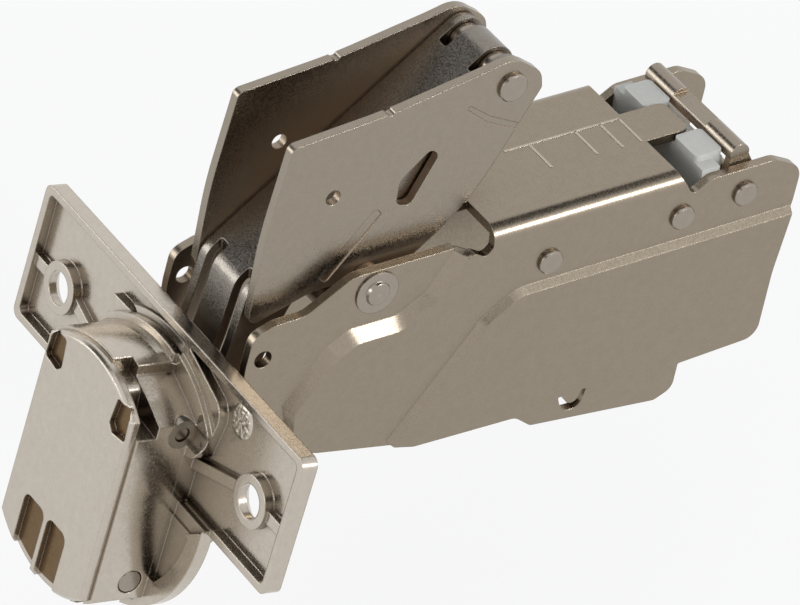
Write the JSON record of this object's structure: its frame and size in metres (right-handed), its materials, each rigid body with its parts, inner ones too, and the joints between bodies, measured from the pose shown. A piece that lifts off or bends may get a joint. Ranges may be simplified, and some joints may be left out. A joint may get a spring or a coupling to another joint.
{
  "type": "concealed cup hinge",
  "caption": "Concealed cup hinge with a pressed two-plate linkage, a clip-on arm and a screwed cup, lying unmounted and over-closed.",
  "frame": {"origin": "middle of the pivot between the arm and the outer links, given as the arm's seat", "axes": "+X back along the arm, +Z square to the arm's web and up, Y along the pivots"},
  "size_m": [0.0974, 0.0598, 0.0651],
  "materials": {
    "nickel_steel": "nickel-plated pressed steel",
    "bright_pin": "ground steel pin",
    "zinc_casting": "nickel-plated zinc die casting",
    "white_plastic": "white moulded plastic"
  },
  "bodies": {
    "arm": {"arm_channel": "nickel_steel", "pivot_rivet_near": "nickel_steel", "pivot_rivet_far": "nickel_steel", "catch_pin": "nickel_steel", "anchor_pin": "nickel_steel", "lever_pin": "nickel_steel", "guide_arm_pin": "nickel_steel", "plastic_slide": "white_plastic"},
    "outer_links": {"outer_link_near": "nickel_steel", "outer_link_far": "nickel_steel", "elbow_pin": "nickel_steel"},
    "inner_link": {"inner_link": "nickel_steel", "guide_link_pin": "nickel_steel"},
    "guide_link": {"guide_link": "nickel_steel"},
    "cup": {"cup_casting": "zinc_casting", "damper_housing": "zinc_casting", "cup_link_pin": "bright_pin", "spring_pin": "nickel_steel", "closing_spring": "nickel_steel"},
    "release_lever": {"release_lever": "nickel_steel"}
  },
  "joints": [
    {"name": "outer_turn", "type": "hinge", "parent": "arm", "child": "outer_links", "pos_m": [0, 0, 0], "axis": [0, -1, 0], "range_deg": [0, 50], "stiffness_Nm_per_rad": 0.3, "springref_deg": -17.19},
    {"name": "inner_turn", "type": "hinge", "parent": "outer_links", "child": "inner_link", "pos_m": [0.018, 0, 0.0223], "axis": [0, -1, 0], "range_deg": [-40.1, 0]},
    {"name": "cup_turn", "type": "hinge", "parent": "inner_link", "child": "cup", "pos_m": [-0.03109, 0, -0.03245], "axis": [0, -1, 0], "range_deg": [0, 161.6]},
    {"name": "guide_turn", "type": "hinge", "parent": "arm", "child": "guide_link", "pos_m": [-0.00135, 0, -0.00466], "axis": [0, -1, 0], "range_deg": [0, 52.3]},
    {"name": "lever_turn", "type": "hinge", "parent": "arm", "child": "release_lever", "pos_m": [0.0514, 0, -0.00033], "axis": [0, 1, 0], "range_deg": [0, 12], "stiffness_Nm_per_rad": 0.02, "springref_deg": -17.19}
  ],
  "couplings": [
    {"joint": "inner_turn", "follows": "outer_turn", "ratio": -0.8},
    {"joint": "cup_turn", "follows": "outer_turn", "ratio": 3.23},
    {"joint": "guide_turn", "follows": "outer_turn", "ratio": 1.044}
  ]
}
